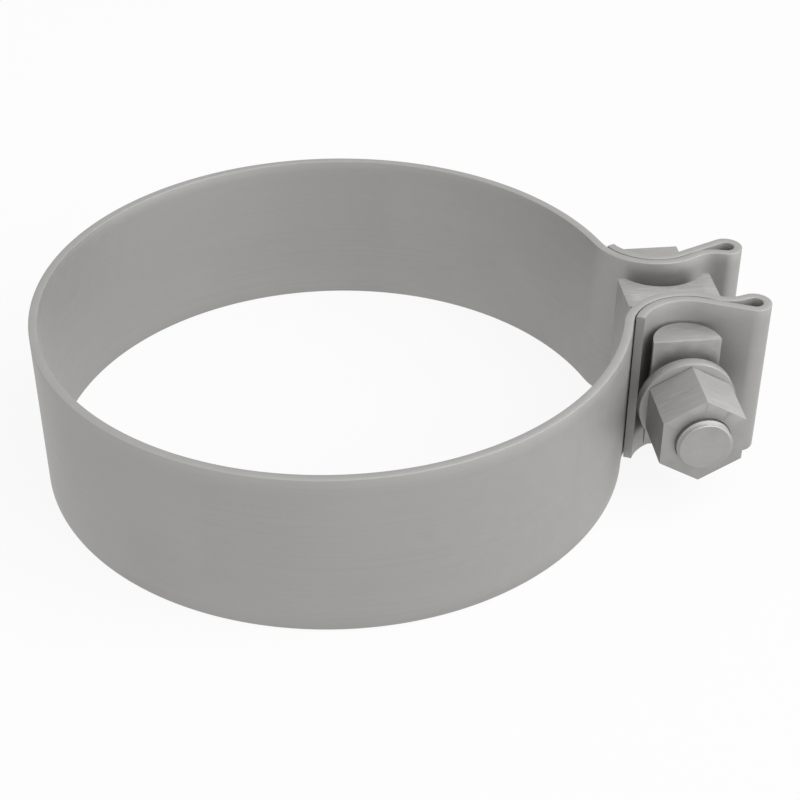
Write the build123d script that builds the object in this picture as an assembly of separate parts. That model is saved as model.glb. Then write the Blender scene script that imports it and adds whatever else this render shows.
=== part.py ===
from build123d import *
import os
from math import acos, atan2, cos, degrees, hypot, radians, sin, sqrt

# Lap-joint exhaust band clamp, open as it hangs loose before it is tightened on a pipe joint.
# One steel strip makes the ring and both flanges: each flange bows over a saddle, turns round
# a rolled tip and folds back over itself. A T-bolt draws the flanges together through a
# biconcave reaction block, and a half-round bar, a washer and a hex nut take its near end.
# +Z is the ring's axis, +X points to the flanges, the nut is on the -Y side, and the origin
# is the ring's centre at half its width. Millimetres.

# Strip and ring
strip_t = 1.6
band_w = 31.75
ring_od = 110.3

# Flange profile, from the ring to the rolled tip and back
flange_half_gap = 4.95
saddle_r = 12.25
saddle_rise = 33.5
crest_r = 5.25
crest_fall = 16.25
lip_run = 1.4
layer_gap = 0.25
crest_layer_gap = 0.03
tail_short = 10.0

# T-bolt
bolt_d = 10.0
bolt_past_nut = 2.2
bolt_end_chamfer = 0.2
head_r = 6.3
head_depth = 10.8
head_h = 22.0
head_edge = 0.2

# Half-round bar on the nut side
bar_r = 6.3
bar_h = 22.8
bar_edge = 0.15

# Reaction block
block_h = 26.4
block_tip_to_tip = 10.3
block_waist = 2.3
block_tip_land = 1.2
block_tip_round = 0.5
block_off_bore = 1.05

# Washer and nut
washer_od = 18.0
washer_t = 2.2
washer_edge = 0.15
nut_af = 15.0
nut_h = 11.0
nut_corner_break = 0.15
nut_mouth = 0.2

# Fits and gaps between the pieces, with each hole's clearance taken on its diameter
seat_gap = 0.35
nut_play = 1.95
nut_face_gap = 0.1
band_hole_clear = 1.5
block_hole_clear = 1.0
bar_hole_clear = 0.6
washer_hole_clear = 0.5
thread_clear = 0.1

# Centre line of the flange profile, worked out from the sizes above
ring_r = ring_od / 2 - strip_t / 2
bore_r = ring_od / 2 - strip_t
saddle_line_r = saddle_r - strip_t / 2
crest_line_r = crest_r + strip_t / 2
fold_line_r = saddle_line_r - strip_t - layer_gap
bolt_y = flange_half_gap + saddle_r
bolt_x = sqrt((ring_r + saddle_line_r) ** 2 - bolt_y**2)
ring_end = degrees(atan2(bolt_y, bolt_x))

# Stations along the bolt, measured outwards from the middle of the flange gap
flange_face = flange_half_gap + 2 * strip_t + layer_gap
bar_front = flange_face + seat_gap
bar_flat = bar_front + bar_r
washer_back = bar_flat + nut_play
washer_front = washer_back + washer_t
nut_back = washer_front + nut_face_gap
nut_front = nut_back + nut_h
bolt_end = nut_front + bolt_past_nut
head_back = bar_front + head_depth


def on_circle(centre, radius, angle):
    """Point of a circle at an angle in degrees."""
    return (centre[0] + radius * cos(radians(angle)), centre[1] + radius * sin(radians(angle)))


def arc(centre, radius, start, end):
    """Arc from one angle to another, which may run either way round."""
    middle = (start + end) / 2
    return ThreePointArc(*(on_circle(centre, radius, a) for a in (start, middle, end)))


def thick_arc(centre, radius, start, end):
    """The strip's two faces along a bend."""
    return [arc(centre, radius + side * strip_t / 2, start, end) for side in (1, -1)]


def thick_line(start, end):
    """The strip's two faces along a straight run."""
    length = hypot(end[0] - start[0], end[1] - start[1])
    across = ((start[1] - end[1]) / length, (end[0] - start[0]) / length)
    shift = [(across[0] * side * strip_t / 2, across[1] * side * strip_t / 2) for side in (1, -1)]
    return [Line((start[0] + d[0], start[1] + d[1]), (end[0] + d[0], end[1] + d[1])) for d in shift]


def flange_edges():
    """Edges of one flange, from the ring's end over the saddle, crest and tip to the tail."""
    saddle = (bolt_x, bolt_y)
    crest = on_circle(saddle, saddle_line_r + crest_line_r, 270 + saddle_rise)
    lip_start = on_circle(crest, crest_line_r, 90 - crest_fall)
    lip_end = on_circle(lip_start, lip_run, -crest_fall)

    # The fold's straight run touches the second saddle layer and clears the crest
    spread = saddle_line_r + crest_line_r
    lean = degrees(acos((spread - layer_gap + crest_layer_gap) / spread))
    run_angle = saddle_rise - lean
    run_start = on_circle(saddle, fold_line_r, 270 + run_angle)

    # The rolled tip is the bend that touches both the lip and the straight run
    opening = radians(run_angle + crest_fall)
    along = (cos(radians(run_angle)), sin(radians(run_angle)))
    lift = (run_start[1] - lip_end[1]) * along[0] - (run_start[0] - lip_end[0]) * along[1]
    tip_r = lift / (1 + cos(opening))
    tip = on_circle(lip_end, tip_r, 90 - crest_fall)
    run_end = on_circle(tip, tip_r, 90 + run_angle)

    tail_angle = 180 + ring_end + tail_short
    edges = thick_arc(saddle, saddle_line_r, 180 + ring_end, 270 + saddle_rise)
    edges += thick_arc(crest, crest_line_r, 90 + saddle_rise, 90 - crest_fall)
    edges += thick_line(lip_start, lip_end)
    edges += thick_arc(tip, tip_r, -90 - crest_fall, 90 + run_angle)
    edges += thick_line(run_end, run_start)
    edges += thick_arc(saddle, fold_line_r, 270 + run_angle, tail_angle)
    ends = [on_circle(saddle, fold_line_r + side * strip_t / 2, tail_angle) for side in (1, -1)]
    return edges + [Line(*ends)]


def bolt_rod(diameter, start, end):
    """Round bar on the bolt's axis between two stations along Y."""
    rod = Cylinder(diameter / 2, abs(end - start))
    return Pos(bolt_x, (start + end) / 2, 0) * Rot(90, 0, 0) * rod


def make_band():
    """Ring and both folded flanges as one bent strip, pierced for the bolt."""
    near = flange_edges()
    far = [edge.mirror(Plane.XZ) for edge in near]
    profile = make_face(thick_arc((0, 0), ring_r, ring_end, 360 - ring_end) + near + far)
    strip = extrude(profile, band_w / 2, both=True)
    return strip - bolt_rod(bolt_d + band_hole_clear, -bolt_y, bolt_y)


def half_round(radius, depth, height, edge_break):
    """D section with its round side at the flange and its flat at the given depth, on +Y."""
    centre = (bolt_x, bar_front + radius)
    outline = [arc(centre, radius, 180, 360)]
    corners = [(bolt_x + radius, centre[1]), (bolt_x + radius, bar_front + depth)]
    corners += [(bolt_x - radius, bar_front + depth), (bolt_x - radius, centre[1])]
    if depth > radius:
        outline += [Line(corners[0], corners[1]), Line(corners[2], corners[3])]
    outline.append(Line(corners[1], corners[2]))
    solid = extrude(make_face(outline), height / 2, both=True)
    flat = solid.faces().sort_by(Axis.Y)[-1]
    return chamfer(flat.edges(), edge_break)


def make_bar():
    """Half-round bar between the near flange and the washer, with its bolt hole."""
    bar = half_round(bar_r, bar_r, bar_h, bar_edge).mirror(Plane.XZ)
    return bar - bolt_rod(bolt_d + bar_hole_clear, -flange_half_gap, -washer_back)


def make_bolt():
    """T-bolt: D-shaped head in the far saddle and a round shank through to the nut."""
    head = half_round(head_r, head_depth, head_h, head_edge)
    shank = bolt_rod(bolt_d, -bolt_end, bar_front + head_r)
    tip = shank.faces().sort_by(Axis.Y)[0]
    return head + chamfer(tip.edges(), bolt_end_chamfer)


def make_block():
    """Biconcave reaction block, with a rounded nose at each of its four tips."""
    half_w = bolt_x - bore_r - block_off_bore
    half_t = block_tip_to_tip / 2
    dish_w = half_w - block_tip_land
    dish_d = half_t - block_waist / 2
    dish_r = (dish_w**2 + dish_d**2) / (2 * dish_d)
    plan = Rectangle(2 * half_w, 2 * half_t)
    for side in (1, -1):
        plan -= Pos(0, side * (block_waist / 2 + dish_r)) * Circle(dish_r)
    block = Pos(bolt_x, 0, 0) * extrude(plan, block_h / 2, both=True)
    block = fillet(block.edges().filter_by(Axis.Z), block_tip_round)
    return block - bolt_rod(bolt_d + block_hole_clear, -half_t, half_t)


def make_washer():
    """Plain round washer under the nut."""
    disc = bolt_rod(washer_od, -washer_front, -washer_back)
    disc = chamfer(disc.edges().filter_by(GeomType.CIRCLE), washer_edge)
    return disc - bolt_rod(bolt_d + washer_hole_clear, -washer_front, -washer_back)


def make_nut():
    """Hex nut with two corners on the ring's axis, lightly turned at both faces."""
    hexagon = RegularPolygon(nut_af / 2, 6, major_radius=False, rotation=30)
    nut = Pos(bolt_x, -nut_back, 0) * Rot(90, 0, 0) * extrude(hexagon, nut_h)
    corner_r = nut_af / 2 / cos(radians(30))
    turned = bolt_rod(2 * corner_r, -nut_front, -nut_back)
    turned = chamfer(turned.edges().filter_by(GeomType.CIRCLE), nut_corner_break)
    thread = bolt_rod(bolt_d + thread_clear, -nut_front, -nut_back)
    nut = (nut & turned) - thread
    mouths = nut.faces().filter_by(GeomType.CYLINDER).sort_by(SortBy.RADIUS)[0].edges()
    return chamfer(mouths.filter_by(GeomType.CIRCLE), nut_mouth)


nodes = {
    "clamp_band": make_band,
    "reaction_block": make_block,
    "t_bolt": make_bolt,
    "half_round_bar": make_bar,
    "washer": make_washer,
    "hex_nut": make_nut,
}

os.makedirs("parts", exist_ok=True)
for node, make in nodes.items():
    solid = make()
    export_step(solid, f"parts/{node}.step")
    box = solid.bounding_box()
    print(node, len(solid.solids()), "solid,", round(solid.volume), "mm3,", box.min, box.max)
print("bolt axis at x", round(bolt_x, 3), "and bore radius", bore_r)
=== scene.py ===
from math import acos, atan2, cos, degrees, radians, sin, sqrt, tan

import bmesh
import bpy
from mathutils import Matrix, Vector


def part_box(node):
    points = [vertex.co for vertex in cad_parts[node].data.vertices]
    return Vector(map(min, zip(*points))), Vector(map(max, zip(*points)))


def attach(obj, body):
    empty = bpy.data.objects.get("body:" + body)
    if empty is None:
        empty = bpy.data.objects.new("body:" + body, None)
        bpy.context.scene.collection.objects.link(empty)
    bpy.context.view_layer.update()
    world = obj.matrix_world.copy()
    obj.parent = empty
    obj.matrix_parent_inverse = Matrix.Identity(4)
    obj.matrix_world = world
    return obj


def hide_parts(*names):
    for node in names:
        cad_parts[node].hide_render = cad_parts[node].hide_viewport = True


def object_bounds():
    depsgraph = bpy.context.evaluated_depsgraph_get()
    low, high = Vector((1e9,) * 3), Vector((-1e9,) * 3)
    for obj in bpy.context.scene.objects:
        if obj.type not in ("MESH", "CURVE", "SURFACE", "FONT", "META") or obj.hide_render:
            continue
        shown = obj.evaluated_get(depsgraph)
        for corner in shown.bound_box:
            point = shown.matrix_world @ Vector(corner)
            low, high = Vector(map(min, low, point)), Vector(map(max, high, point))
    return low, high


# Lap-joint exhaust band clamp. Pieces are modelled in millimetres in the frame's own axes: +Z is
# the ring's axis, +X points to the flanges, and the nut is on the -Y side. Each mesh is brought
# to metres when it becomes a piece.

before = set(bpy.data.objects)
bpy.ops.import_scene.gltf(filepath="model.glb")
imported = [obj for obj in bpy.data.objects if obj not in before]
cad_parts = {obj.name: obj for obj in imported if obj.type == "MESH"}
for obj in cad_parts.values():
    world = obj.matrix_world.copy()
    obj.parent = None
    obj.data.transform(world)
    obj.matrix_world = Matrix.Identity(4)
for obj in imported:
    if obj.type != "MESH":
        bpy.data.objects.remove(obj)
cad_low, cad_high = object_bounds()

MM = 0.001


def node_box(node):
    """Lowest and highest corner of a CAD node, in millimetres."""
    return tuple(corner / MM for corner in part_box(node))


band_low, band_high = node_box("clamp_band")
block_low, block_high = node_box("reaction_block")
bolt_low, bolt_high = node_box("t_bolt")
bar_low, bar_high = node_box("half_round_bar")
washer_low, washer_high = node_box("washer")
nut_low, nut_high = node_box("hex_nut")

# Strip, with its width and ring taken from the frame
strip_t = 1.6
strip_edge = 0.12
strip_rows = 12
band_w = band_high.z - band_low.z
ring_r = -band_low.x - strip_t / 2

# Flange profile, from the ring to the rolled tip and back, with its angles in degrees
flange_half_gap = 4.95
saddle_line_r = 11.45
saddle_rise = 33.5
crest_line_r = 6.05
crest_fall = 16.25
lip_run = 1.4
layer_gap = 0.25
crest_layer_gap = 0.03
tail_short = 10.0
bolt_y = flange_half_gap + saddle_line_r + strip_t / 2
bolt_x = sqrt((ring_r + saddle_line_r) ** 2 - bolt_y**2)
ring_end = degrees(atan2(bolt_y, bolt_x))
fold_line_r = saddle_line_r - strip_t - layer_gap

# Bolt, its thread and the holes that it passes through
bolt_d = 10.0
bolt_end_chamfer = 0.12
head_r = 6.3
shank_lap = 0.5
pitch = 1.5
thread_depth = 0.92
thread_crest = 0.1875
thread_root = 0.1875
thread_length = 26.0
thread_play = 0.06
spare_turns = 2
band_hole_d = 11.5
block_hole_d = 11.0
bar_hole_d = 10.6
washer_hole_d = 10.5

# Reaction block
block_waist = 2.3
block_tip_land = 1.2
block_tip_round = 0.5
tip_segments = 5

# Nut
nut_corner_angle = radians(30)
nut_corner_drop = 0.08
nut_mouth = 0.1

# Broken edges of the machined pieces
head_edge = 0.15
bar_edge = 0.1
block_edge = 0.1
washer_edge = 0.1
nut_edge = 0.06
edge_segments = 2

# How far a cutting shape reaches past the metal, and how near two points are one
reach_past = 1.0
touching = 0.001

# Smoothness of the curves, in degrees a step and steps a turn
ring_step = 1.5
bend_step = 5.0
turn_steps = 96
thread_steps = 60
sharp_angle = radians(25)

# Steel finish
steel_tone = (0.357, 0.352, 0.343)
steel_metallic = 1.0
steel_roughness = 0.6
mottle_tone = 0.04
mottle_roughness = 0.12
pit_tone = 0.03
grain_depth = 0.0015

# Sizes of the finish's patterns, as how many fit in a metre
broad_mottle = 60
small_mottle = 420
grain_count = 4000
pit_count = 2200
pit_from = 0.2
pit_to = 0.3

# Lines come and go in patches of this many lines, by this much
line_patch = 20
line_patch_depth = 2.4

# Lines a metre along X, Y and Z: rolled round the strip, and sawn or turned across the bolt
rolled = (25, 25, 2600)
sawn = (350, 2600, 350)
lathe_turned = (220, 3000, 220)

# Camera at the photo's place, aim and lens
camera_at = (-0.01531, -0.26315, 0.1787)
camera_aim = (0.0858, 0.81189, -0.5775)
camera_lens = 75.56
camera_sensor = 36
camera_near = 0.01

# Pale floor, and the share of it that glows white to the camera
floor_half = 3.0
floor_gap = 0.0002
floor_tone = 0.5
floor_roughness = 0.9
floor_glow = 0.9

# Light from all round, and the white that the camera sees behind the clamp
all_round_light = 0.69
backdrop_level = 0.97

# Soft lamps, each with the way to it and its watts
lamp_far = 1.2
lamp_size = 1.6
lamps = [
    ("upper_right", (0.534, -0.436, 0.725), 17),
    ("right_side", (0.85, -0.1, 0.5), 10),
    ("upper_left", (-0.6, -0.5, 0.6), 4),
]


def make_piece(name, bm):
    """Turn a finished bmesh, modelled in millimetres, into a scene object in metres."""
    bmesh.ops.recalc_face_normals(bm, faces=bm.faces)
    bm.transform(Matrix.Scale(MM, 4))
    mesh = bpy.data.meshes.new(name)
    bm.to_mesh(mesh)
    bm.free()
    piece = bpy.data.objects.new(name, mesh)
    bpy.context.scene.collection.objects.link(piece)
    return piece


def apply_modifiers(piece):
    """Give a piece the mesh that its modifiers make of it."""
    graph = bpy.context.evaluated_depsgraph_get()
    shaped = bpy.data.meshes.new_from_object(piece.evaluated_get(graph))
    shaped.name = piece.name
    piece.modifiers.clear()
    piece.data = shaped


def combine(piece, tool, operation):
    """Join, cut or trim a piece with another shape, which is used up."""
    change = piece.modifiers.new("change", "BOOLEAN")
    change.operation = operation
    change.solver = "EXACT"
    change.object = tool
    apply_modifiers(piece)
    bpy.data.objects.remove(tool)


def break_edges(piece, width):
    """Round off every sharp edge of a piece."""
    edge = piece.modifiers.new("edges", "BEVEL")
    edge.width = width * MM
    edge.segments = edge_segments
    edge.limit_method = "ANGLE"
    edge.angle_limit = sharp_angle
    apply_modifiers(piece)


def close_slivers(piece):
    """Merge the hair-thin edges and faces that cutting leaves on a piece."""
    near = touching * MM
    bm = bmesh.new()
    bm.from_mesh(piece.data)
    bmesh.ops.remove_doubles(bm, verts=bm.verts, dist=near)
    bmesh.ops.dissolve_degenerate(bm, edges=bm.edges, dist=near)
    cut_faces = [face for face in bm.faces if len(face.verts) > 4]
    bmesh.ops.triangulate(bm, faces=cut_faces, ngon_method="BEAUTY")
    bmesh.ops.dissolve_degenerate(bm, edges=bm.edges, dist=near)
    bm.to_mesh(piece.data)
    bm.free()


def shade(piece):
    """Smooth shading over curves, and sharp shading at corners."""
    piece.data.shade_smooth()
    piece.data.set_sharp_from_angle(angle=sharp_angle)


def on_circle(centre, radius, angle):
    """Point of a circle in plan at an angle in degrees."""
    turn = radians(angle)
    return Vector((centre.x + radius * cos(turn), centre.y + radius * sin(turn), 0))


def trace_arc(bm, point, centre, angle):
    """Carry a point of an outline round a centre in plan, and return its last point."""
    steps = max(2, round(abs(angle) / bend_step))
    carried = bmesh.ops.spin(bm, geom=[point], cent=centre, axis=(0, 0, 1), angle=radians(angle),
                             steps=steps)
    return next(item for item in carried["geom_last"] if isinstance(item, bmesh.types.BMVert))


def trace_line(bm, point, to):
    """Carry a point of an outline along a straight line, and return its last point."""
    end = bm.verts.new(to)
    bm.edges.new((point, end))
    return end


def extrude_outline(bm, height):
    """Fill a closed outline in plan and extrude it, half of the height to each side of the plan."""
    bmesh.ops.remove_doubles(bm, verts=bm.verts, dist=touching)
    bmesh.ops.translate(bm, verts=bm.verts, vec=(0, 0, -height / 2))
    underside = bmesh.ops.contextual_create(bm, geom=bm.edges[:])["faces"]
    raised = bmesh.ops.extrude_face_region(bm, geom=underside, use_keep_orig=True)["geom"]
    top = [item for item in raised if isinstance(item, bmesh.types.BMVert)]
    bmesh.ops.translate(bm, verts=top, vec=(0, 0, height))


def to_bolt_axis(bm):
    """Lay a shape that was turned about Z along the bolt's axis, with its +Z pointing to -Y."""
    bm.transform(Matrix.Translation((bolt_x, 0, 0)) @ Matrix.Rotation(radians(90), 4, "X"))


def turned(name, outline):
    """Solid turned about the bolt's axis from (radius, distance towards -Y) points."""
    bm = bmesh.new()
    points = [bm.verts.new((radius, 0, along)) for radius, along in outline]
    sides = zip(points, points[1:] + points[:1])
    edges = [bm.edges.new((first, last)) for first, last in sides if first.co.x + last.co.x > 0]
    bmesh.ops.spin(bm, geom=points + edges, cent=(0, 0, 0), axis=(0, 0, 1), angle=radians(360),
                   steps=turn_steps, use_merge=True)
    bmesh.ops.remove_doubles(bm, verts=bm.verts, dist=touching)
    bmesh.ops.dissolve_degenerate(bm, edges=bm.edges, dist=touching)
    to_bolt_axis(bm)
    return make_piece(name, bm)


def bolt_rod(diameter, start, end):
    """Plain round rod on the bolt's axis between two distances towards -Y."""
    bm = bmesh.new()
    bmesh.ops.create_cone(bm, cap_ends=True, segments=turn_steps, radius1=diameter / 2,
                          radius2=diameter / 2, depth=end - start)
    bmesh.ops.translate(bm, verts=bm.verts, vec=(0, 0, (start + end) / 2))
    to_bolt_axis(bm)
    return make_piece("rod", bm)


def threaded_rod(name, start, end, grow=0.0):
    """Rod with a right-hand thread on the bolt's axis, cut square at two distances towards -Y.

    Every thread starts from the same station, so the bolt's and the nut's stay in mesh.
    """
    crest_r = bolt_d / 2 + grow
    root_r = crest_r - thread_depth
    first = -bolt_low.y - thread_length - spare_turns * pitch
    turns = int(thread_length / pitch) + 2 * spare_turns + 1
    outline = [
        (root_r, -pitch / 2),
        (root_r, (thread_root - pitch) / 2),
        (crest_r, -thread_crest / 2),
        (crest_r, thread_crest / 2),
        (root_r, (pitch - thread_root) / 2),
        (root_r, pitch / 2),
    ]
    bm = bmesh.new()
    points = [bm.verts.new((radius, 0, first + along)) for radius, along in outline]
    edges = [bm.edges.new(pair) for pair in zip(points, points[1:])]
    bmesh.ops.spin(bm, geom=points + edges, cent=(0, 0, 0), axis=(0, 0, 1),
                   angle=radians(360) * turns, steps=thread_steps * turns,
                   dvec=(0, 0, pitch / thread_steps))
    bmesh.ops.remove_doubles(bm, verts=bm.verts, dist=touching)
    for station, side in ((start, -1), (end, 1)):
        everything = bm.verts[:] + bm.edges[:] + bm.faces[:]
        bmesh.ops.bisect_plane(bm, geom=everything, plane_co=(0, 0, station),
                               plane_no=(0, 0, side), clear_outer=True)
    bmesh.ops.holes_fill(bm, edges=bm.edges)
    to_bolt_axis(bm)
    return make_piece(name, bm)


def strip_section(bm):
    """Section of the strip at the back of the ring, with its four long edges rounded."""
    bmesh.ops.create_grid(bm, x_segments=1, y_segments=1, size=0.5)
    bmesh.ops.scale(bm, verts=bm.verts, vec=(strip_t, band_w, 1))
    upright = Matrix.Rotation(radians(90), 3, "X")
    bmesh.ops.rotate(bm, verts=bm.verts, cent=(0, 0, 0), matrix=upright)
    bmesh.ops.translate(bm, verts=bm.verts, vec=(-ring_r, 0, 0))
    bmesh.ops.bevel(bm, geom=bm.verts[:], offset=strip_edge, offset_type="OFFSET",
                    segments=edge_segments, profile=0.5, affect="VERTICES", material=-1)
    bmesh.ops.delete(bm, geom=bm.faces[:], context="FACES_ONLY")
    tall = [edge for edge in bm.edges if edge.calc_length() > band_w / 2]
    bmesh.ops.subdivide_edges(bm, edges=tall, cuts=strip_rows - 1)
    return bm.verts[:] + bm.edges[:]


def sweep_bend(bm, section, centre, angle, step=bend_step):
    """Sweep the strip's section round a bend, and return the section at its end."""
    steps = max(2, round(abs(angle) / step))
    swept = bmesh.ops.spin(bm, geom=section, cent=centre, axis=(0, 0, 1), angle=radians(angle),
                           steps=steps)
    return swept["geom_last"]


def sweep_run(bm, section, run):
    """Sweep the strip's section straight along, and return the section at its end."""
    swept = bmesh.ops.spin(bm, geom=section, dvec=run, axis=(0, 0, 1), angle=0, steps=1)
    return swept["geom_last"]


def make_band():
    """Half of the strip bent from the back of the ring to one folded tail, then mirrored."""
    saddle = Vector((bolt_x, bolt_y, 0))
    crest = on_circle(saddle, saddle_line_r + crest_line_r, 270 + saddle_rise)
    lip_start = on_circle(crest, crest_line_r, 90 - crest_fall)
    lip_end = on_circle(lip_start, lip_run, -crest_fall)

    # The fold's straight run touches the second saddle layer and clears the crest
    spread = saddle_line_r + crest_line_r
    lean = degrees(acos((spread - layer_gap + crest_layer_gap) / spread))
    run_angle = saddle_rise - lean
    run_start = on_circle(saddle, fold_line_r, 270 + run_angle)

    # The rolled tip is the bend that touches both the lip and the straight run
    opening = radians(run_angle + crest_fall)
    along = on_circle(Vector(), 1, run_angle)
    lift = (run_start.y - lip_end.y) * along.x - (run_start.x - lip_end.x) * along.y
    tip_r = lift / (1 + cos(opening))
    tip = on_circle(lip_end, tip_r, 90 - crest_fall)
    run_end = on_circle(tip, tip_r, 90 + run_angle)

    bm = bmesh.new()
    section = strip_section(bm)
    section = sweep_bend(bm, section, (0, 0, 0), ring_end - 180, ring_step)
    section = sweep_bend(bm, section, saddle, 90 - ring_end + saddle_rise)
    section = sweep_bend(bm, section, crest, -saddle_rise - crest_fall)
    section = sweep_run(bm, section, lip_end - lip_start)
    section = sweep_bend(bm, section, tip, 180 + crest_fall + run_angle)
    section = sweep_run(bm, section, run_start - run_end)
    section = sweep_bend(bm, section, saddle, ring_end + tail_short - 90 - run_angle)
    tail = [item for item in section if isinstance(item, bmesh.types.BMEdge)]
    bmesh.ops.contextual_create(bm, geom=tail)
    half = bm.verts[:] + bm.edges[:] + bm.faces[:]
    bmesh.ops.mirror(bm, geom=half, axis="Y", merge_dist=touching)

    band = make_piece("band_strip", bm)
    combine(band, bolt_rod(band_hole_d, -bolt_y, bolt_y), "DIFFERENCE")
    return band


def is_tip_edge(edge, half_t):
    """True for the upright edges at the block's tips."""
    low, high = (vert.co for vert in edge.verts)
    upright = abs(low.x - high.x) < touching and abs(low.y - high.y) < touching
    return upright and abs(low.y) > half_t - touching


def make_block():
    """Block dished on both sides, with the edges of its tips rounded and its bolt hole."""
    half_w = (block_high.x - block_low.x) / 2
    half_t = (block_high.y - block_low.y) / 2
    dish_w = half_w - block_tip_land
    dish_d = half_t - block_waist / 2
    dish_r = (dish_w**2 + dish_d**2) / (2 * dish_d)
    dish_turn = 2 * degrees(atan2(dish_w, dish_r - dish_d))
    bm = bmesh.new()
    for side in (1, -1):
        start = bm.verts.new((bolt_x + side * dish_w, side * half_t, 0))
        centre = Vector((bolt_x, side * (block_waist / 2 + dish_r), 0))
        end = trace_arc(bm, start, centre, -dish_turn)
        corner = trace_line(bm, end, (bolt_x - side * half_w, side * half_t, 0))
        corner = trace_line(bm, corner, (bolt_x - side * half_w, -side * half_t, 0))
        trace_line(bm, corner, (bolt_x - side * dish_w, -side * half_t, 0))
    extrude_outline(bm, block_high.z - block_low.z)
    tips = [edge for edge in bm.edges if is_tip_edge(edge, half_t)]
    bmesh.ops.bevel(bm, geom=tips, offset=block_tip_round, offset_type="OFFSET",
                    segments=tip_segments, profile=0.5, affect="EDGES", material=-1)
    block = make_piece("dished_block", bm)
    hole = bolt_rod(block_hole_d, -half_t - reach_past, half_t + reach_past)
    combine(block, hole, "DIFFERENCE")
    break_edges(block, block_edge)
    return block


def half_round(name, front, radius, back, height, side):
    """D section with its round at the front station and its flat at the back one."""
    bm = bmesh.new()
    centre = Vector((bolt_x, side * (front + radius), 0))
    start = bm.verts.new((bolt_x - side * radius, centre.y, 0))
    end = trace_arc(bm, start, centre, 180)
    corner = trace_line(bm, end, (end.co.x, side * back, 0))
    corner = trace_line(bm, corner, (start.co.x, side * back, 0))
    bm.edges.new((corner, start))
    extrude_outline(bm, height)
    return make_piece(name, bm)


def make_bolt():
    """T-bolt: a forged head of D section, a plain shank and a rolled thread to its end."""
    front = -bar_high.y
    end = -bolt_low.y
    thread_start = end - thread_length
    bolt = half_round("tee_bolt", front, head_r, bolt_high.y, bolt_high.z - bolt_low.z, 1)
    break_edges(bolt, head_edge)
    rod = threaded_rod("rod", thread_start, end)
    over_r = bolt_d / 2 + reach_past
    chamfered = turned("chamfered", [
        (0, 0),
        (over_r, 0),
        (over_r, end - bolt_end_chamfer - reach_past),
        (bolt_d / 2 - bolt_end_chamfer, end),
        (0, end),
    ])
    combine(rod, chamfered, "INTERSECT")
    combine(rod, bolt_rod(bolt_d, -front - head_r, thread_start + shank_lap), "UNION")
    combine(bolt, rod, "UNION")
    return bolt


def make_bar():
    """Half-round bar with its bolt hole."""
    front = -bar_high.y
    radius = bar_high.y - bar_low.y
    back = front + radius
    bar = half_round("saddle_bar", front, radius, back, bar_high.z - bar_low.z, -1)
    combine(bar, bolt_rod(bar_hole_d, front - reach_past, back + reach_past), "DIFFERENCE")
    break_edges(bar, bar_edge)
    return bar


def make_washer():
    """Plain washer with its stamped edges rounded."""
    inner = washer_hole_d / 2
    outer = (washer_high.x - washer_low.x) / 2
    back, front = -washer_high.y, -washer_low.y
    washer = turned("plain_washer", [(inner, back), (outer, back), (outer, front), (inner, front)])
    break_edges(washer, washer_edge)
    return washer


def make_nut():
    """Hexagon nut with its corners turned down, a countersunk mouth at each face and its thread."""
    back, front = -nut_high.y, -nut_low.y
    corner_r = (nut_high.z - nut_low.z) / 2
    bm = bmesh.new()
    bmesh.ops.create_cone(bm, cap_ends=True, segments=6, radius1=corner_r, radius2=corner_r,
                          depth=front - back)
    bmesh.ops.translate(bm, verts=bm.verts, vec=(0, 0, (front + back) / 2))
    bmesh.ops.bevel(bm, geom=bm.edges[:], offset=nut_edge, offset_type="OFFSET",
                    segments=edge_segments, profile=0.5, affect="EDGES", material=-1)
    to_bolt_axis(bm)
    nut = make_piece("m10_nut", bm)

    face_r = corner_r - nut_corner_drop / tan(nut_corner_angle)
    over_r = corner_r + reach_past
    over = (over_r - face_r) * tan(nut_corner_angle)
    corners = turned("corners", [
        (0, back),
        (face_r, back),
        (over_r, back + over),
        (over_r, front - over),
        (face_r, front),
        (0, front),
    ])
    combine(nut, corners, "INTERSECT")

    mouth_r = bolt_d / 2 + nut_mouth
    for face, inward in ((back, 1), (front, -1)):
        mouth = turned("mouth", [
            (0, face - inward * reach_past),
            (mouth_r + reach_past, face - inward * reach_past),
            (mouth_r - 2 * nut_mouth, face + inward * 2 * nut_mouth),
            (0, face + inward * 2 * nut_mouth),
        ])
        combine(nut, mouth, "DIFFERENCE")
    tap = threaded_rod("tap", back - reach_past, front + reach_past, thread_play)
    combine(nut, tap, "DIFFERENCE")
    return nut


def new_tree(owner):
    """Emptied node tree of a material or world."""
    owner.use_nodes = True
    owner.node_tree.nodes.clear()
    return owner.node_tree


def new_group(name, outputs):
    """Empty shader node group that takes a vector and puts out values, with its two end nodes."""
    group = bpy.data.node_groups.new(name, "ShaderNodeTree")
    group.interface.new_socket(name="Vector", in_out="INPUT", socket_type="NodeSocketVector")
    for output in outputs:
        group.interface.new_socket(name=output, in_out="OUTPUT", socket_type="NodeSocketFloat")
    return group, group.nodes.new("NodeGroupInput"), group.nodes.new("NodeGroupOutput")


def place_group(tree, group, vector):
    """Node that uses a group in a material at a vector."""
    node = tree.nodes.new("ShaderNodeGroup")
    node.node_tree = group
    tree.links.new(vector, node.inputs["Vector"])
    return node


def reckon(tree, operation, *terms):
    """Result of a Math node on sockets or numbers."""
    node = tree.nodes.new("ShaderNodeMath")
    node.operation = operation
    for place, term in enumerate(terms):
        if isinstance(term, (int, float)):
            node.inputs[place].default_value = term
        else:
            tree.links.new(term, node.inputs[place])
    return node.outputs[0]


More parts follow.
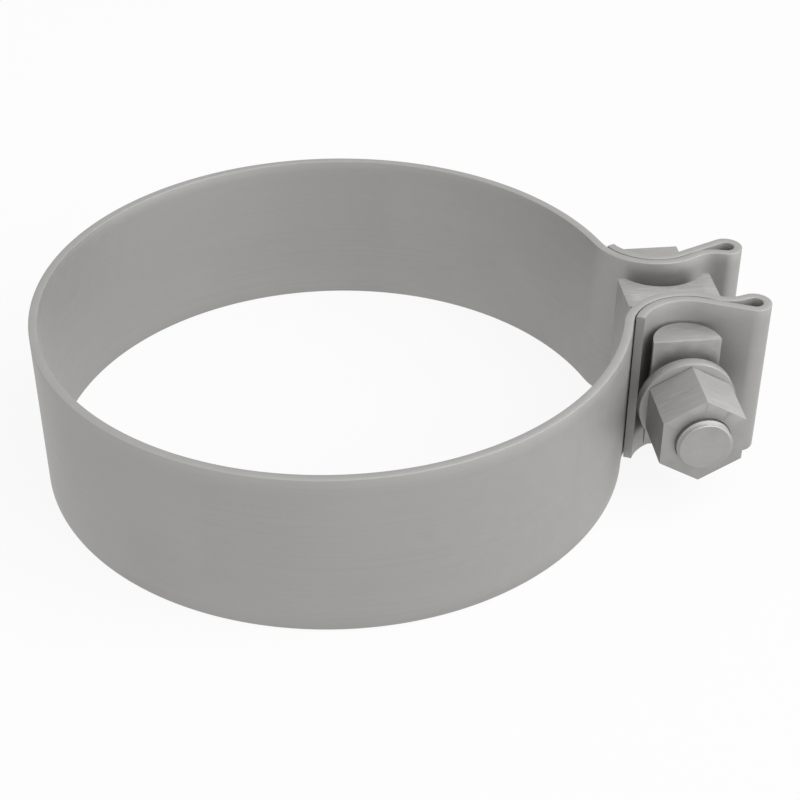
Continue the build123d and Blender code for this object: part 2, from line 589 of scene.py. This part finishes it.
def mix_shaders(tree, share, first, second):
    """Shader that is the first at a share of 0 and the second at a share of 1."""
    node = tree.nodes.new("ShaderNodeMixShader")
    tree.links.new(share, node.inputs["Fac"])
    tree.links.new(first, node.inputs[1])
    tree.links.new(second, node.inputs[2])
    return node.outputs["Shader"]


def swing(tree, vector, scale, detail):
    """Noise that swings about zero, from -0.5 to 0.5."""
    noise = tree.nodes.new("ShaderNodeTexNoise")
    noise.inputs["Scale"].default_value = scale
    noise.inputs["Detail"].default_value = detail
    tree.links.new(vector, noise.inputs["Vector"])
    return reckon(tree, "SUBTRACT", noise.outputs["Fac"], 0.5)


def lay_lines_group():
    """Fine lines that a roll, saw or cutter leaves, across the axis along which they are close.

    The vector arrives stretched, so that one unit is one line.
    """
    group, start, end = new_group("lay_lines", ["Streak"])
    vector = start.outputs["Vector"]
    patches = swing(group, vector, 1 / line_patch, 1)
    strength = reckon(group, "MULTIPLY_ADD", patches, line_patch_depth, 1.0)
    streak = reckon(group, "MULTIPLY", swing(group, vector, 1, 2), strength)
    group.links.new(streak, end.inputs["Streak"])
    return group


def mill_mottle_group():
    """Broad cloudiness of bare mill steel, as a swing in its tone and in its roughness."""
    group, start, end = new_group("mill_mottle", ["Tone", "Roughness"])
    vector = start.outputs["Vector"]
    broad = swing(group, vector, broad_mottle, 2)
    small = swing(group, vector, small_mottle, 3)
    group.links.new(reckon(group, "ADD", broad, small), end.inputs["Tone"])
    group.links.new(reckon(group, "SUBTRACT", small, broad), end.inputs["Roughness"])
    return group


def fine_grain_group():
    """Matte grain with scattered shallow pits, as a height and as a mask of the pits."""
    group, start, end = new_group("fine_grain", ["Height", "Pits"])
    vector = start.outputs["Vector"]
    grain = swing(group, vector, grain_count, 2)
    pits = group.nodes.new("ShaderNodeMapRange")
    pits.inputs["From Min"].default_value = pit_from
    pits.inputs["From Max"].default_value = pit_to
    group.links.new(swing(group, vector, pit_count, 0), pits.inputs["Value"])
    height = reckon(group, "SUBTRACT", grain, pits.outputs["Result"])
    group.links.new(height, end.inputs["Height"])
    group.links.new(pits.outputs["Result"], end.inputs["Pits"])
    return group


def steel(name, lines_a_metre, line_tone, line_depth):
    """Matte bare steel, with how close its lines are and how much they show, in tone and in mm."""
    material = bpy.data.materials.new(name)
    tree = new_tree(material)
    shader = tree.nodes.new("ShaderNodeBsdfPrincipled")
    shader.inputs["Metallic"].default_value = steel_metallic
    output = tree.nodes.new("ShaderNodeOutputMaterial")
    tree.links.new(shader.outputs["BSDF"], output.inputs["Surface"])

    place = tree.nodes.new("ShaderNodeTexCoord").outputs["Object"]
    stretch = tree.nodes.new("ShaderNodeMapping")
    stretch.inputs["Scale"].default_value = lines_a_metre
    tree.links.new(place, stretch.inputs["Vector"])
    streak = place_group(tree, lay_lines, stretch.outputs["Vector"]).outputs["Streak"]
    mottle = place_group(tree, mill_mottle, place)
    grain = place_group(tree, fine_grain, place)

    # Tone
    tone = reckon(tree, "MULTIPLY", mottle.outputs["Tone"], mottle_tone)
    tone = reckon(tree, "MULTIPLY_ADD", streak, line_tone, tone)
    tone = reckon(tree, "MULTIPLY_ADD", grain.outputs["Pits"], -pit_tone, tone)
    tint = tree.nodes.new("ShaderNodeVectorMath")
    tint.operation = "SCALE"
    tint.inputs[0].default_value = steel_tone
    tree.links.new(reckon(tree, "ADD", tone, 1.0), tint.inputs["Scale"])
    tree.links.new(tint.outputs["Vector"], shader.inputs["Base Color"])

    # Roughness
    swings = mottle.outputs["Roughness"]
    rough = reckon(tree, "MULTIPLY_ADD", swings, mottle_roughness, steel_roughness)
    tree.links.new(rough, shader.inputs["Roughness"])

    # Relief of the lines and the grain
    grain_share = grain_depth / line_depth
    relief = reckon(tree, "MULTIPLY_ADD", grain.outputs["Height"], grain_share, streak)
    bump = tree.nodes.new("ShaderNodeBump")
    bump.inputs["Distance"].default_value = line_depth * MM
    tree.links.new(relief, bump.inputs["Height"])
    tree.links.new(bump.outputs["Normal"], shader.inputs["Normal"])
    return material


def seen_directly(tree):
    """Socket that is 1 for rays that see the white backdrop, and 0 for rays that light the clamp."""
    path = tree.nodes.new("ShaderNodeLightPath")
    seen = path.outputs["Is Camera Ray"]
    for kind in ("Is Glossy Ray", "Is Transmission Ray"):
        seen = reckon(tree, "MAXIMUM", seen, path.outputs[kind])
    return seen


def aim_along(thing, direction):
    """Turn a camera or lamp to look along a direction."""
    thing.rotation_mode = "QUATERNION"
    thing.rotation_quaternion = Vector(direction).to_track_quat("-Z", "Y")


def make_camera():
    """Camera that gives the photo's framing."""
    camera = bpy.data.objects.new("camera", bpy.data.cameras.new("camera"))
    bpy.context.scene.collection.objects.link(camera)
    camera.data.sensor_width = camera_sensor
    camera.data.lens = camera_lens
    camera.data.clip_start = camera_near
    camera.location = camera_at
    aim_along(camera, camera_aim)
    bpy.context.scene.camera = camera


def floor_paint():
    """Matte pale paint that glows white to the camera and is clear from below."""
    paint = bpy.data.materials.new("floor_paint")
    tree = new_tree(paint)
    matte = tree.nodes.new("ShaderNodeBsdfPrincipled")
    matte.inputs["Base Color"].default_value = (floor_tone, floor_tone, floor_tone, 1)
    matte.inputs["Roughness"].default_value = floor_roughness
    matte.inputs["Specular IOR Level"].default_value = 0
    glow = tree.nodes.new("ShaderNodeEmission")
    glow.inputs["Color"].default_value = (1, 1, 1, 1)
    clear = tree.nodes.new("ShaderNodeBsdfTransparent")
    glow_share = reckon(tree, "MULTIPLY", seen_directly(tree), floor_glow)
    above = mix_shaders(tree, glow_share, matte.outputs["BSDF"], glow.outputs["Emission"])
    below = tree.nodes.new("ShaderNodeNewGeometry").outputs["Backfacing"]
    output = tree.nodes.new("ShaderNodeOutputMaterial")
    both = mix_shaders(tree, below, above, clear.outputs["BSDF"])
    tree.links.new(both, output.inputs["Surface"])
    return paint


def make_floor():
    """Plain floor just under the clamp."""
    bm = bmesh.new()
    bmesh.ops.create_grid(bm, x_segments=1, y_segments=1, size=floor_half)
    mesh = bpy.data.meshes.new("floor")
    bm.to_mesh(mesh)
    bm.free()
    mesh.materials.append(floor_paint())
    floor = bpy.data.objects.new("floor", mesh)
    floor.location.z = cad_low.z - floor_gap
    bpy.context.scene.collection.objects.link(floor)


def make_world():
    """Even light from all round, white to the camera."""
    world = bpy.data.worlds.new("studio")
    bpy.context.scene.world = world
    tree = new_tree(world)
    shades = []
    for level in (all_round_light, backdrop_level):
        shade_node = tree.nodes.new("ShaderNodeBackground")
        shade_node.inputs["Color"].default_value = (1, 1, 1, 1)
        shade_node.inputs["Strength"].default_value = level
        shades.append(shade_node.outputs["Background"])
    output = tree.nodes.new("ShaderNodeOutputWorld")
    tree.links.new(mix_shaders(tree, seen_directly(tree), *shades), output.inputs["Surface"])


def make_lamp(name, way, watts):
    """Soft round lamp that shines on the clamp from a given way."""
    lamp = bpy.data.objects.new(name, bpy.data.lights.new(name, "AREA"))
    bpy.context.scene.collection.objects.link(lamp)
    lamp.data.shape = "DISK"
    lamp.data.size = lamp_size
    lamp.data.energy = watts
    lamp.location = Vector(way).normalized() * lamp_far
    aim_along(lamp, -Vector(way))


lay_lines = lay_lines_group()
mill_mottle = mill_mottle_group()
fine_grain = fine_grain_group()

# Each piece with its body, node and material slot, and its lines with their tone and depth
pieces = [
    (make_band(), "band", "clamp_band", "strip_steel", rolled, 0.08, 0.003),
    (make_block(), "block", "reaction_block", "block_steel", sawn, 0.35, 0.09),
    (make_bolt(), "bolt", "t_bolt", "bolt_steel", sawn, 0.2, 0.03),
    (make_bar(), "bar", "half_round_bar", "bar_steel", sawn, 0.35, 0.09),
    (make_washer(), "washer", "washer", "washer_steel", lathe_turned, 0.25, 0.045),
    (make_nut(), "nut", "hex_nut", "nut_steel", lathe_turned, 0.3, 0.06),
]
for piece, body, node, slot, lines_a_metre, line_tone, line_depth in pieces:
    close_slivers(piece)
    shade(piece)
    piece.data.materials.clear()
    piece.data.materials.append(steel(slot, lines_a_metre, line_tone, line_depth))
    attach(piece, body)
    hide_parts(node)

make_camera()
make_floor()
make_world()
for name, way, watts in lamps:
    make_lamp(name, way, watts)

bpy.context.scene.view_settings.view_transform = "Standard"
